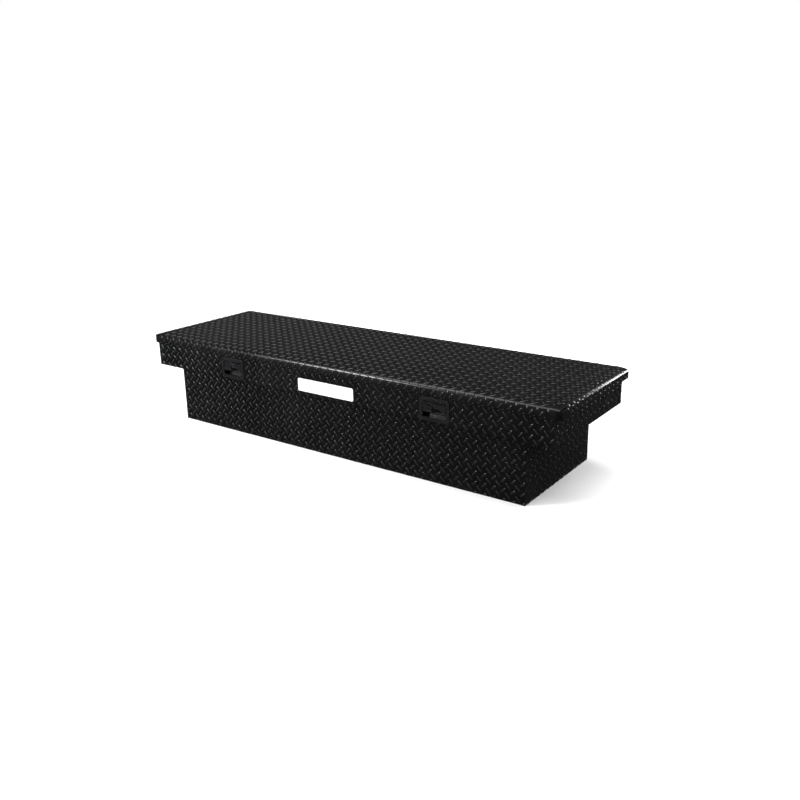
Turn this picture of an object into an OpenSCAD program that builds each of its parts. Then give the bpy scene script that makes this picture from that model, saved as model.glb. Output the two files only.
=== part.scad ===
// Crossover tool box for a pickup bed: single lid, saddle wings, two paddle latches.
// The tub is folded tread plate. The lid hangs on a piano hinge and two gas struts.
// Millimetres. X runs along the box, -Y is the latch side, +Z is up.
// The origin is on the floor plane, at the centre of the whole box.

/* [Overall] */
// Length of the lid from end skirt to end skirt
lid_length = 1780; // [1640:5:1900]
// Length of the upper tray, wing end to wing end
tray_length = 1736; // [1600:5:1850]
// Length of the lower tub between the bed rails
body_length = 1536; // [1250:5:1570]
// Depth of the upper tray, front face to back face
tray_depth = 512; // [430:1:620]
// How far the lower front wall stands behind the upper one
front_step = 27; // [15:1:40]
// How far the lower back wall stands before the upper one
rear_step = 22; // [15:1:40]
// Height of the wing undersides above the floor
saddle_height = 219; // [180:1:270]
// Height of the upper tray, wing underside to rim
tray_height = 105; // [96:1:130]
// Height of the lid's top above the rim
lid_rise = 22; // [20:0.5:30]

/* [Sheet] */
// Thickness of the tread plate
sheet = 2; // [1.6:0.1:3]
// Thickness of the lid's inner pan
pan_sheet = 1.2; // [1:0.1:2]
// Width of the flange along the rim
rim_flange = 22; // [18:1:28]
// Depth of the lip that hangs from the rim flange
rim_lip = 12; // [8:1:16]
// Height of the floor pan's weld flanges
floor_flange = 14; // [8:1:25]

/* [Lid] */
// Overlap of the lid past the tray's front face
lid_front_lap = 7.5; // [6:0.5:12]
// Depth of the front and end skirts, from the lid's top
skirt_depth = 36; // [30:1:45]
// Width of the rolled front edge
edge_run = 38; // [20:1:50]
// Width of the rolled end edges
end_run = 30; // [20:1:40]
// Drop of the rolled edges
edge_drop = 14; // [10:1:18]
// Corner radius of the lid in plan
corner_r = 20; // [10:1:30]
// Number of hat stiffeners inside the lid
stiffener_count = 3; // [2:1:4]

/* [Seal] */
// Width of the weather seal
seal_width = 9; // [7:0.5:12]
// Space left between the seal and the closed lid
seal_gap = 0.3; // [0.3:0.1:1]

/* [Piano hinge] */
// Radius of the hinge pin
pin_r = 1.2; // [1:0.1:1.4]
// Running clearance between pin and knuckle
pin_clear = 0.05; // [0.03:0.01:0.09]
// Outer radius of the knuckles
barrel_r = 3; // [2.6:0.1:3]
// Space between the knuckles and the tub's back face
barrel_gap = 0.5; // [0.4:0.1:1]
// Thickness of the leaves
leaf_t = 1.5; // [1:0.1:1.6]
// Pitch of the knuckles
knuckle_pitch = 50.8; // [38:0.1:76]
// Space between one knuckle and the next
knuckle_gap = 0.6; // [0.4:0.1:1]
// Height of the tub leaf below the hinge line
tub_leaf_h = 24; // [18:1:30]
// Radius of the hinge rivets
rivet_r = 1.6; // [1.4:0.1:2]

/* [Gas struts] */
// Distance from the hinge line to each ball stud
strut_arm = 215; // [195:1:230]
// Angle of the lid stud below the hinge line
lid_stud_angle = 8; // [7:0.5:10]
// Angle between the two studs, seen from the hinge line
stud_spread = 70; // [66:1:72]
// Outer radius of the strut tube
tube_r = 9; // [8:0.5:10]
// Wall of the strut tube
tube_wall = 1.5; // [1:0.1:2]
// Length of the strut tube
tube_length = 195; // [190:1:198]
// Radius of the strut rod
rod_r = 4; // [3:0.5:5]
// Radius of the ball studs
ball_r = 5; // [4:0.5:5.5]
// Clearance of the struts' sliding and turning fits
strut_clear = 0.1; // [0.05:0.01:0.1]
// Distance from the lower end wall to the strut's centre line
strut_inset = 17; // [16:1:24]

/* [Latches] */
// Distance of each latch from the box's centre
latch_x = 452; // [300:1:600]
// Distance from the rim down to the latch's centre
latch_drop = 62; // [60:1:64]
// Width of the latch flange
flange_w = 114; // [110:1:124]
// Height of the latch flange
flange_h = 76; // [72:1:78]
// Width of the latch dish
dish_w = 92; // [84:1:96]
// Height of the latch dish
dish_h = 56; // [54:1:60]
// Depth of the latch dish behind the panel's face
dish_depth = 18; // [18:0.5:20]
// Corner radius of the latch flange
flange_corner = 8; // [2:0.5:12]
// Corner radius inside the latch dish
dish_corner = 4; // [1:0.5:5]
// Height of the paddle below its pin
paddle_h = 27; // [24:1:30]
// Radius of the paddle's pin
paddle_pin_r = 2; // [1.5:0.1:2.5]
// Radius of the lock barrel
lock_r = 8; // [6:0.5:9]
// Radius of the catch's pin
catch_pin_r = 2.5; // [2:0.1:3]
// Radius of the striker's bar
striker_r = 3; // [2.5:0.1:3]

/* [Label] */
// Width of the blank nameplate
label_w = 248; // [150:1:300]
// Height of the blank nameplate
label_h = 46; // [30:1:60]

/* [Mounting holes] */
// Radius of the bolt holes in the saddle wings
bolt_hole_r = 5.5; // [4:0.5:7]
// Distance between the two bolt holes of a wing
bolt_spacing = 360; // [250:1:380]

/* [Hidden] */
$fn = 48;
tiny = 0.02;
roll_steps = 8;
cut = 1;

rim_z = saddle_height + tray_height;
lid_top = rim_z + lid_rise;
skirt_z = lid_top - skirt_depth;
pan_top = lid_top - edge_drop;
pan_z = pan_top - pan_sheet;

overall_depth = lid_front_lap + tray_depth + barrel_gap + 2 * barrel_r;
front_y = -overall_depth / 2 + lid_front_lap;
back_y = front_y + tray_depth;
lid_front_y = front_y - lid_front_lap;
low_front_y = front_y + front_step;
low_back_y = back_y - rear_step;
tray_x = tray_length / 2;
body_x = body_length / 2;
lid_x = lid_length / 2;
tray_mid_y = (front_y + back_y) / 2;
wing_mid_x = (tray_x + body_x) / 2;

hinge_y = back_y + barrel_gap + barrel_r;
hinge_z = (rim_z + pan_z) / 2;
hinge_end_gap = 20;
hinge_length = tray_length - 2 * hinge_end_gap;
knuckle_count = 2 * floor(hinge_length / knuckle_pitch / 2) + 1;
hinge_x0 = -knuckle_count * knuckle_pitch / 2;
lid_leaf_gap = 3;
lid_leaf_top = lid_top - lid_leaf_gap;
rivet_count = floor(knuckle_count / 2);
rivet_head = 1.1;
rivet_fit = 0.1;
head_ratio = 1.7;
tub_rivet_share = 0.6;
lid_rivet_lift = 1;
tub_rivet_z = hinge_z - tub_leaf_h * tub_rivet_share;
lid_rivet_z = (pan_top + lid_leaf_top) / 2 + lid_rivet_lift;

lid_stud = [hinge_y - strut_arm * cos(lid_stud_angle), hinge_z - strut_arm * sin(lid_stud_angle)];
tub_stud_angle = lid_stud_angle + stud_spread;
tub_stud = [hinge_y - strut_arm * cos(tub_stud_angle), hinge_z - strut_arm * sin(tub_stud_angle)];
strut_rest = 2 * strut_arm * sin(stud_spread / 2);
strut_tilt = atan2(lid_stud[1] - tub_stud[1], lid_stud[0] - tub_stud[0]);
strut_x = body_x - sheet - strut_inset;
socket_wall = 3;
socket_r = ball_r + socket_wall;
socket_neck_r = 5;
mouth_gap = 1.2;
socket_len = 12;
tube_start = 12;
gland_len = 8;
neck_r = 3;
bracket_t = 3;
stud_bolt_r = 3;
stud_bolt_step = 26;
tub_bracket_h = 42;
tub_bracket_w = 26;
lid_bracket_w = 44;
lid_bracket_foot = 26;
lid_bracket_side_gap = 1;
lid_rivet_inset = 10;
lid_rivet_share = 0.33;
ear_half = 10;
ear_drop = 9;
stud_head_t = 2;

latch_z = rim_z - latch_drop;
gasket_t = 0.8;
flange_t = 1.6;
dish_t = 1.2;
dish_gap = 1;
stud_r = 2;
stud_shift = 0.5;
stud_x = (flange_w + dish_w + 2 * dish_gap) / 4 - stud_shift;
stud_dz = 20;
stud_fit = 0.3;
stud_tail = 8;
nut_flat_r = 4;
nut_t = 3.2;
recess_w = dish_w - 2 * dish_t;
recess_top = latch_z + dish_h / 2 - dish_t;
flange_face = front_y - gasket_t - flange_t;
paddle_proud = 1;
paddle_pin_depth = 5.5;
paddle_pin_drop = 6.5;
paddle_side_gap = 1.5;
paddle_face = front_y - paddle_proud;
paddle_y = front_y + paddle_pin_depth;
paddle_z = recess_top - paddle_pin_drop;
paddle_top = 3.2;
paddle_w = recess_w - 2 * paddle_side_gap;
paddle_t = 3;
lug_wall = 2;
lug_inset = 9;
lug_r = paddle_pin_r + lug_wall;
lug_x = paddle_w / 2 - lug_inset;
lug_w = 10;
crank_t = 3;
crank_w = 8;
window_w = 14;
lock_drop = 22;
lock_z = paddle_z - lock_drop;
lock_boss = 6;
boss_wall = 2;
lock_back = 9;
lock_proud = 0.8;
cam_t = 2;
cam_reach = 15;
cam_w = 8;
keeper_gap = 4;
keeper_x = lock_r + keeper_gap;
keeper_t = 2;
keeper_lead = 5;
keeper_w = 8;
keeper_h = 16;
keeper_y = paddle_y + lock_back - keeper_lead;

dish_back = front_y + dish_depth;
frame_t = 1.8;
frame_half = 8;
frame_y0 = dish_back + dish_t;
frame_depth = 36;
frame_h = 20;
frame_lift = 1.3;
frame_y1 = frame_y0 + frame_depth;
frame_z0 = lock_z + lock_r + frame_lift;
frame_z1 = frame_z0 + frame_h;
window_sill = 1.5;
window_z = frame_z0 + window_sill;
catch_setback = 27.5;
catch_lift = 6.2;
catch_y = frame_y0 + catch_setback;
catch_z = frame_z0 + catch_lift;
catch_t = 6;
catch_boss_wall = 3;
catch_boss_r = catch_pin_r + catch_boss_wall;
catch_arm_w = 5;
pin_proud = 1.5;
striker_setback = 24.5;
striker_lift = 21;
striker_y = frame_y0 + striker_setback;
striker_z = catch_z + striker_lift;
striker_half = 12;
nose_gap = 2;
nose_lift = 4.5;
nose_length = 7;
nose_t = 4;
knee_overlap = [2.5, -2];
tail_inset = 3.5;
tail_t = 4;
tail_overlap = 3;
crank_reach = 8.3;
catch_tip = [striker_y - striker_r - nose_gap, striker_z + striker_r + nose_lift];
catch_knee = [catch_tip[0] - nose_length, catch_tip[1]];
catch_tail_y = frame_y0 + tail_inset;
crank_tip_y = frame_y0 + crank_reach;
crank_gap = 0.8;
plate_t = 2.5;
plate_w = 48;
plate_d = 26;
plate_rivet_x = 19;
plate_rivet_r = 2;
coil_wire = 0.5;
coil_gap = 0.2;
coil_side_gap = 0.6;
coil_pitch = 2 * coil_wire + tiny;

alloy = [0.10, 0.10, 0.11];
bare = [0.62, 0.63, 0.65];
zinc = [0.74, 0.75, 0.77];
black_rubber = [0.05, 0.05, 0.05];
black_plastic = [0.08, 0.08, 0.08];

// ---------- helpers ----------

// A block between two opposite corners
module block(low, high) {
    translate(low) cube(high - low);
}

// A round bar along X, centred at x
module bar_x(x, y, z, r, length) {
    translate([x - length / 2, y, z]) rotate([0, 90, 0]) cylinder(r = r, h = length);
}

// A round bar along Y from y0 to y1
module bar_y(x, z, r, y0, y1) {
    translate([x, y1, z]) rotate([90, 0, 0]) cylinder(r = r, h = y1 - y0);
}

// A shape drawn in Y and Z, given a thickness along X and centred at x
module side_plate(x, thickness) {
    translate([x - thickness / 2, 0, 0]) rotate([90, 0, 90]) linear_extrude(height = thickness) children();
}

// A strip of one width from point a to point b
module strip(a, b, width) {
    run = b - a;
    translate(a) rotate(atan2(run[1], run[0])) translate([0, -width / 2]) square([norm(run), width]);
}

// Both sides of the box: left is -1, right is +1
function side_sign(side) = side == "left" ? -1 : 1;

// ---------- tub ----------

// A long wall of the tub: upper wall, rim flange, lip, step and lower wall, with its face at y = 0
module long_wall(step) {
    block([-tray_x, 0, saddle_height], [tray_x, sheet, rim_z]);
    block([-tray_x, 0, rim_z - sheet], [tray_x, rim_flange, rim_z]);
    block([-tray_x + sheet, rim_flange - sheet, rim_z - rim_lip], [tray_x - sheet, rim_flange, rim_z]);
    block([-body_x, 0, saddle_height], [body_x, step, saddle_height + sheet]);
    block([-body_x, step, 0], [body_x, step + sheet, saddle_height + sheet]);
}

module front_panel() {
    hole_w = dish_w + 2 * dish_gap;
    hole_h = dish_h + 2 * dish_gap;
    color(alloy) difference() {
        translate([0, front_y, 0]) long_wall(front_step);
        for (x = [-latch_x, latch_x]) {
            block([x - hole_w / 2, front_y - cut, latch_z - hole_h / 2],
                  [x + hole_w / 2, front_y + sheet + cut, latch_z + hole_h / 2]);
            for (sx = [-1, 1], sz = [-1, 1])
                bar_y(x + sx * stud_x, latch_z + sz * stud_dz, stud_r + stud_fit,
                      front_y - cut, front_y + sheet + cut);
        }
    }
}

module rear_panel() {
    color(alloy) difference() {
        translate([0, back_y, 0]) mirror([0, 1, 0]) long_wall(rear_step);
        for (i = [0 : rivet_count - 1])
            bar_y(hinge_rivet_x(i), tub_rivet_z, rivet_r + rivet_fit, back_y - sheet - cut, back_y + cut);
    }
}

// An end of the tub: upper end wall with its rim, saddle wing and lower end wall
module tub_end(side) {
    inner_front = front_y + sheet;
    inner_back = back_y - sheet;
    flange_front = front_y + rim_flange;
    flange_back = back_y - rim_flange;
    color(alloy) on_side(side) difference() {
        union() {
            block([tray_x - sheet, inner_front, saddle_height], [tray_x, inner_back, rim_z - sheet]);
            block([tray_x - sheet, flange_front, saddle_height], [tray_x, flange_back, rim_z]);
            block([tray_x - rim_flange, flange_front, rim_z - sheet], [tray_x, flange_back, rim_z]);
            block([tray_x - rim_flange, flange_front, rim_z - rim_lip],
                  [tray_x - rim_flange + sheet, flange_back, rim_z]);
            block([body_x, front_y + sheet, saddle_height], [tray_x, inner_back, saddle_height + sheet]);
            block([body_x - sheet, low_front_y + sheet, saddle_height],
                  [tray_x, low_back_y - sheet, saddle_height + sheet]);
            block([body_x - sheet, low_front_y + sheet, sheet],
                  [body_x, low_back_y - sheet, saddle_height + sheet]);
        }
        for (s = [-1, 1])
            translate([wing_mid_x, tray_mid_y + s * bolt_spacing / 2, saddle_height - cut])
                cylinder(r = bolt_hole_r, h = sheet + 2 * cut);
        for (s = [-1, 1])
            bar_x(body_x - sheet / 2, tub_stud[0], tub_stud[1] + s * stud_bolt_step / 2,
                  stud_bolt_r + rivet_fit, sheet + 2 * cut);
    }
}

// Puts a piece drawn for the right side on the named side
module on_side(side) {
    if (side == "left") mirror([1, 0, 0]) children();
    if (side == "right") children();
}

module floor_pan() {
    x = body_x - sheet;
    y0 = low_front_y + sheet;
    y1 = low_back_y - sheet;
    color(alloy) difference() {
        union() {
            block([-body_x, low_front_y + sheet, 0], [body_x, low_back_y - sheet, sheet]);
            block([-x, y0, 0], [x, y1, sheet + floor_flange]);
        }
        block([-x + sheet, y0 + sheet, sheet], [x - sheet, y1 - sheet, sheet + floor_flange + cut]);
    }
}

// The seal sits on the rim flange: a flat foot with a narrower bulb on top
module seal_ring(width, z0, z1) {
    inset = (rim_flange - width) / 2;
    difference() {
        block([-tray_x + inset, front_y + inset, z0], [tray_x - inset, back_y - inset, z1]);
        block([-tray_x + inset + width, front_y + inset + width, z0 - cut],
              [tray_x - inset - width, back_y - inset - width, z1 + cut]);
    }
}

module weather_seal() {
    foot = 2;
    foot_extra = 3;
    color(black_rubber) {
        seal_ring(seal_width + foot_extra, rim_z, rim_z + foot);
        seal_ring(seal_width, rim_z, pan_z - seal_gap);
    }
}

module nameplate() {
    thickness = 1;
    label_z = latch_z - 6;
    color(bare) block([-label_w / 2, front_y - thickness, label_z - label_h / 2],
                      [label_w / 2, front_y, label_z + label_h / 2]);
}

// ---------- lid ----------

// Points of a rolled edge: a quarter ellipse from the skirt up to the flat top
function rolled_edge(run, drop) = [for (i = [0 : roll_steps]) [run * (1 - cos(90 * i / roll_steps)),
    drop * sin(90 * i / roll_steps)]];

// The lid's solid outline, shrunk by a wall all round
module lid_solid(wall, low) {
    front = rolled_edge(edge_run - wall, edge_drop - wall);
    end = rolled_edge(end_run - wall, edge_drop - wall);
    y0 = lid_front_y + wall;
    y1 = back_y - wall;
    x1 = lid_x - wall;
    r = corner_r - wall;
    intersection() {
        side_plate(0, lid_length * 2) polygon(concat(
            [[y0, low]],
            [for (p = front) [y0 + p[0], pan_top + p[1]]],
            [[y1, lid_top - wall], [y1, low]]));
        translate([0, overall_depth, 0]) rotate([90, 0, 0]) linear_extrude(height = overall_depth * 2)
            polygon(concat(
                [[-x1, low]],
                [for (p = end) [-x1 + p[0], pan_top + p[1]]],
                [for (i = [roll_steps : -1 : 0]) [x1 - end[i][0], pan_top + end[i][1]]],
                [[x1, low]]));
        translate([0, 0, low - cut]) linear_extrude(height = lid_rise * 4) union() {
            translate([-x1, y0 + r]) square([2 * x1, y1 - y0 - r]);
            translate([-x1 + r, y0]) square([2 * (x1 - r), r + tiny]);
            for (s = [-1, 1]) translate([s * (x1 - r), y0 + r]) circle(r = r);
        }
    }
}

module lid_skin() {
    color(alloy) difference() {
        lid_solid(0, skirt_z);
        lid_solid(sheet, skirt_z - 2 * cut);
        block([-lid_x + sheet, back_y - sheet - cut, skirt_z - cut], [lid_x - sheet, back_y + cut, pan_z]);
        for (i = [0 : rivet_count - 1])
            bar_y(hinge_rivet_x(i), lid_rivet_z, rivet_r + rivet_fit, back_y - sheet - cut, back_y + cut);
    }
}

module lid_inner_pan() {
    x = lid_x - sheet;
    y0 = lid_front_y + sheet;
    y1 = back_y - sheet;
    clip_ratio = 1.3;
    clip = corner_r * clip_ratio;
    color(alloy) difference() {
        block([-x, y0, pan_z], [x, y1, pan_top]);
        for (s = [-1, 1]) translate([s * x, y0, pan_z - cut]) rotate(45)
            translate([-clip / 2, -clip / 2, 0]) cube([clip, clip, pan_sheet + 2 * cut]);
        for (side = ["left", "right"]) {
            for (sy = [-1, 1])
                translate([lid_rivet_pos(side, sy)[0], lid_rivet_pos(side, sy)[1], pan_z - cut])
                    cylinder(r = stud_bolt_r + rivet_fit, h = pan_sheet + 2 * cut);
            for (sx = [-1, 1])
                translate([side_sign(side) * latch_x + sx * plate_rivet_x, striker_y, pan_z - cut])
                    cylinder(r = plate_rivet_r + rivet_fit, h = pan_sheet + 2 * cut);
        }
    }
}

// Hat sections between the pan and the skin, running along the lid
module lid_stiffeners() {
    height = edge_drop - sheet;
    brim = 12;
    crown = 24;
    wall = pan_sheet;
    end_gap = 60;
    side_gap = 80;
    shift = 20;
    length = tray_length - 2 * end_gap;
    room = tray_depth - 2 * side_gap;
    color(alloy) for (i = [0 : stiffener_count - 1]) {
        y = tray_mid_y + shift + room * ((i + 0.5) / stiffener_count - 0.5);
        translate([0, y, pan_top]) side_plate(0, length) {
            for (s = [-1, 1]) {
                translate([s > 0 ? crown / 2 - wall : -crown / 2 - brim, 0]) square([brim + wall, wall]);
                translate([s > 0 ? crown / 2 - wall : -crown / 2, 0]) square([wall, height]);
            }
            translate([-crown / 2, height - wall]) square([crown, wall]);
        }
    }
}

// ---------- piano hinge ----------

function hinge_rivet_x(i) = hinge_x0 + knuckle_pitch * (2 * i + 1.5);

// A leaf drawn with its plate going up: way is +1 for the lid leaf and -1 for the tub leaf
module hinge_leaf(way, first, reach, rivet_z) {
    plate_gap = barrel_r + knuckle_gap;
    low = way > 0 ? hinge_z + plate_gap : hinge_z - reach;
    high = way > 0 ? hinge_z + reach : hinge_z - plate_gap;
    difference() {
        union() {
            block([hinge_x0, back_y, low], [-hinge_x0, back_y + leaf_t, high]);
            for (i = [first : 2 : knuckle_count - 1]) {
                x = hinge_x0 + knuckle_pitch * (i + 0.5);
                w = knuckle_pitch - knuckle_gap;
                bar_x(x, hinge_y, hinge_z, barrel_r, w);
                block([x - w / 2, back_y, min(hinge_z, hinge_z + way * (plate_gap + tiny))],
                      [x + w / 2, back_y + leaf_t, max(hinge_z, hinge_z + way * (plate_gap + tiny))]);
            }
        }
        bar_x(0, hinge_y, hinge_z, pin_r + pin_clear, hinge_length * 2);
        for (i = [0 : rivet_count - 1])
            bar_y(hinge_rivet_x(i), rivet_z, rivet_r + rivet_fit, back_y - cut, back_y + leaf_t + cut);
    }
}

module hinge_leaf_tub() {
    color(zinc) hinge_leaf(-1, 0, tub_leaf_h, tub_rivet_z);
}

module hinge_leaf_lid() {
    color(zinc) hinge_leaf(1, 1, lid_leaf_top - hinge_z, lid_rivet_z);
}

module hinge_pin() {
    color(zinc) bar_x(0, hinge_y, hinge_z, pin_r, knuckle_count * knuckle_pitch);
}

// Round-head rivets through a leaf and the sheet behind it
module hinge_rivets(z) {
    for (i = [0 : rivet_count - 1]) {
        bar_y(hinge_rivet_x(i), z, rivet_r, back_y - sheet, back_y + leaf_t + rivet_head / 2);
        bar_y(hinge_rivet_x(i), z, rivet_r * head_ratio, back_y + leaf_t, back_y + leaf_t + rivet_head);
    }
}

module hinge_rivets_tub() {
    color(bare) hinge_rivets(tub_rivet_z);
}

module hinge_rivets_lid() {
    color(bare) hinge_rivets(lid_rivet_z);
}

// ---------- gas struts ----------

// A ball stud that points to the box's centre from a plate face at x, drawn for the right side
module ball_stud(face_x, pos) {
    translate([strut_x, pos[0], pos[1]]) rotate([0, 90, 0]) sphere(r = ball_r);
    bar_x((strut_x + face_x) / 2, pos[0], pos[1], neck_r, face_x - strut_x);
}

module strut_tub_bracket(side) {
    face = body_x - sheet - bracket_t;
    color(zinc) on_side(side) difference() {
        union() {
            block([face, tub_stud[0] - tub_bracket_w / 2, tub_stud[1] - tub_bracket_h / 2],
                  [body_x - sheet, tub_stud[0] + tub_bracket_w / 2, tub_stud[1] + tub_bracket_h / 2]);
            ball_stud(face + tiny, tub_stud);
        }
        for (s = [-1, 1])
            bar_x(face, tub_stud[0], tub_stud[1] + s * stud_bolt_step / 2,
                  stud_bolt_r + rivet_fit, 4 * bracket_t);
    }
}

// The two rivets of a lid bracket, by side and by row
function lid_rivet_pos(side, row) =
    [side_sign(side) * (strut_x - lid_bracket_foot / 2 + lid_rivet_inset),
        lid_stud[0] + row * lid_bracket_w * lid_rivet_share];

module strut_lid_bracket(side) {
    face = strut_x + strut_inset - bracket_t - lid_bracket_side_gap;
    foot_z = pan_z - plate_t;
    color(zinc) difference() {
        on_side(side) {
            block([face - lid_bracket_foot, lid_stud[0] - lid_bracket_w / 2, foot_z],
                  [face + bracket_t, lid_stud[0] + lid_bracket_w / 2, pan_z]);
            block([face, lid_stud[0] - ear_half, lid_stud[1] - ear_drop],
                  [face + bracket_t, lid_stud[0] + ear_half, pan_z]);
            ball_stud(face + tiny, lid_stud);
        }
        for (row = [-1, 1])
            translate([lid_rivet_pos(side, row)[0], lid_rivet_pos(side, row)[1], foot_z - cut])
                cylinder(r = stud_bolt_r + rivet_fit, h = plate_t + 2 * cut);
    }
}

module strut_rivets_tub() {
    head = body_x - sheet - bracket_t;
    color(bare) for (side = ["left", "right"], s = [-1, 1]) on_side(side) {
        z = tub_stud[1] + s * stud_bolt_step / 2;
        bar_x((head + body_x) / 2, tub_stud[0], z, stud_bolt_r, body_x - head);
        bar_x(head - stud_head_t / 2, tub_stud[0], z, stud_bolt_r * head_ratio, stud_head_t);
    }
}

module strut_rivets_lid() {
    foot_z = pan_z - plate_t;
    color(bare) for (side = ["left", "right"], row = [-1, 1])
        translate([lid_rivet_pos(side, row)[0], lid_rivet_pos(side, row)[1], foot_z - stud_head_t]) {
            cylinder(r = stud_bolt_r * head_ratio, h = stud_head_t);
            cylinder(r = stud_bolt_r, h = stud_head_t + plate_t + pan_sheet);
        }
}

// Lays a piece drawn along +Z from the tub stud onto the strut's line
module on_strut(side) {
    on_side(side) translate([strut_x, tub_stud[0], tub_stud[1]]) rotate([strut_tilt - 90, 0, 0]) children();
}

// A socket round a ball, open towards the wall, with a neck along the strut
module ball_socket(neck_length) {
    difference() {
        union() {
            rotate([0, 90, 0]) translate([0, 0, -socket_len / 2]) cylinder(r = socket_r, h = socket_len);
            cylinder(r = socket_neck_r, h = neck_length);
        }
        rotate([0, 90, 0]) sphere(r = ball_r + strut_clear);
        rotate([0, 90, 0]) cylinder(r = neck_r + mouth_gap, h = socket_len);
    }
}

module tube_socket(side) {
    color(black_plastic) on_strut(side) ball_socket(tube_start);
}

module rod_socket(side) {
    color(black_plastic) on_strut(side) translate([0, 0, strut_rest])
        rotate([180, 0, 0]) ball_socket(tube_start);
}

module strut_tube(side) {
    inner = tube_r - tube_wall;
    color(black_plastic) on_strut(side) translate([0, 0, tube_start]) difference() {
        cylinder(r = tube_r, h = tube_length);
        translate([0, 0, tube_wall * 2]) cylinder(r = inner, h = tube_length - gland_len - tube_wall * 2);
        translate([0, 0, tube_length - gland_len - cut])
            cylinder(r = rod_r + strut_clear, h = gland_len + 2 * cut);
    }
}

module strut_rod(side) {
    piston_z = tube_start + 6;
    piston_t = 6;
    color(zinc) on_strut(side) {
        translate([0, 0, piston_z]) cylinder(r = rod_r, h = strut_rest - tube_start - piston_z);
        translate([0, 0, piston_z]) cylinder(r = tube_r - tube_wall - strut_clear, h = piston_t);
    }
}

// ---------- latches, drawn round x = 0 ----------

module at_latch(side) {
    translate([side_sign(side) * latch_x, 0, 0]) children();
}

// A plate with round corners in the panel's plane, centred on the latch
module face_plate(w, h, r, y0, y1) {
    block([-w / 2 + r, y0, latch_z - h / 2], [w / 2 - r, y1, latch_z + h / 2]);
    block([-w / 2, y0, latch_z - h / 2 + r], [w / 2, y1, latch_z + h / 2 - r]);
    for (sx = [-1, 1], sz = [-1, 1]) bar_y(sx * (w / 2 - r), latch_z + sz * (h / 2 - r), r, y0, y1);
}

module latch_gasket(side) {
    color(black_rubber) at_latch(side) difference() {
        face_plate(flange_w, flange_h, flange_corner, front_y - gasket_t, front_y);
        face_plate(dish_w + 2 * dish_gap, dish_h + 2 * dish_gap, dish_corner,
                   front_y - 2 * gasket_t, front_y + cut);
        for (sx = [-1, 1], sz = [-1, 1])
            bar_y(sx * stud_x, latch_z + sz * stud_dz, stud_r + stud_fit,
                  front_y - 2 * gasket_t, front_y + cut);
    }
}

module latch_dish(side) {
    color(black_plastic) at_latch(side) {
        difference() {
            union() {
                face_plate(flange_w, flange_h, flange_corner, flange_face, front_y - gasket_t);
                face_plate(dish_w, dish_h, dish_corner + dish_t, flange_face, dish_back + dish_t);
                for (sx = [-1, 1], sz = [-1, 1])
                    bar_y(sx * stud_x, latch_z + sz * stud_dz, stud_r,
                          flange_face + tiny, front_y + stud_tail);
            }
            face_plate(recess_w, dish_h - 2 * dish_t, dish_corner, flange_face - cut, dish_back);
            block([-window_w / 2, dish_back - cut, window_z],
                  [window_w / 2, dish_back + dish_t + cut, recess_top - 1]);
            bar_x(0, paddle_y, paddle_z, paddle_pin_r + pin_clear, dish_w + 2 * cut);
        }
        block([keeper_x, keeper_y, lock_z - keeper_h / 2],
              [keeper_x + keeper_w, keeper_y + keeper_t, lock_z + keeper_h / 2]);
        block([keeper_x + keeper_w - keeper_t, keeper_y, lock_z - keeper_h / 2],
              [keeper_x + keeper_w, dish_back + tiny, lock_z + keeper_h / 2]);
    }
}

module latch_nuts() {
    color(zinc) for (side = ["left", "right"]) at_latch(side) for (sx = [-1, 1], sz = [-1, 1])
        translate([sx * stud_x, front_y + sheet + nut_t, latch_z + sz * stud_dz]) rotate([90, 0, 0])
            difference() {
                cylinder(r = nut_flat_r, h = nut_t, $fn = 6);
                translate([0, 0, -cut]) cylinder(r = stud_r + pin_clear, h = nut_t + 2 * cut);
            }
}

// The paddle hangs from its pin. A crank behind it reaches through the dish to the catch.
module paddle(side) {
    low = paddle_z - paddle_h;
    high = paddle_z + paddle_top;
    back = paddle_face + paddle_t;
    lip_r = 2;
    color(black_plastic) at_latch(side) difference() {
        union() {
            block([-paddle_w / 2, paddle_face, low], [paddle_w / 2, back, high]);
            bar_x(0, paddle_face + lip_r, low, lip_r, paddle_w);
            for (s = [-1, 1]) {
                bar_x(s * lug_x, paddle_y, paddle_z, lug_r, lug_w);
                block([s * lug_x - lug_w / 2, back - tiny, paddle_z - lug_r],
                      [s * lug_x + lug_w / 2, paddle_y, high]);
            }
            bar_x(0, paddle_y, paddle_z, lug_r, crank_w);
            block([-crank_w / 2, back - tiny, paddle_z - lug_r], [crank_w / 2, paddle_y, high]);
            block([-crank_w / 2, paddle_y, paddle_z - crank_t / 2],
                  [crank_w / 2, crank_tip_y, paddle_z + crank_t / 2]);
            bar_y(0, lock_z, lock_r + boss_wall, paddle_face, paddle_face + lock_boss);
        }
        bar_x(0, paddle_y, paddle_z, paddle_pin_r + pin_clear, paddle_w + 2 * cut);
        bar_y(0, lock_z, lock_r + pin_clear, paddle_face - cut, paddle_face + lock_boss + cut);
    }
}

module paddle_pin(side) {
    color(zinc) at_latch(side) bar_x(0, paddle_y, paddle_z, paddle_pin_r, dish_w);
}

// Coils of a torsion spring round a pin
module coil(x, y, z, r, turns) {
    for (i = [0 : turns - 1])
        translate([x + i * coil_pitch, y, z]) rotate([0, 90, 0])
            rotate_extrude() translate([r, 0]) circle(r = coil_wire, $fn = 16);
}

module paddle_spring(side) {
    turns = 6;
    spring_inset = 12;
    x = lug_x - lug_w / 2 - spring_inset;
    r = paddle_pin_r + coil_wire + coil_gap;
    color(bare) at_latch(side) coil(x, paddle_y, paddle_z, r, turns);
}

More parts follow.
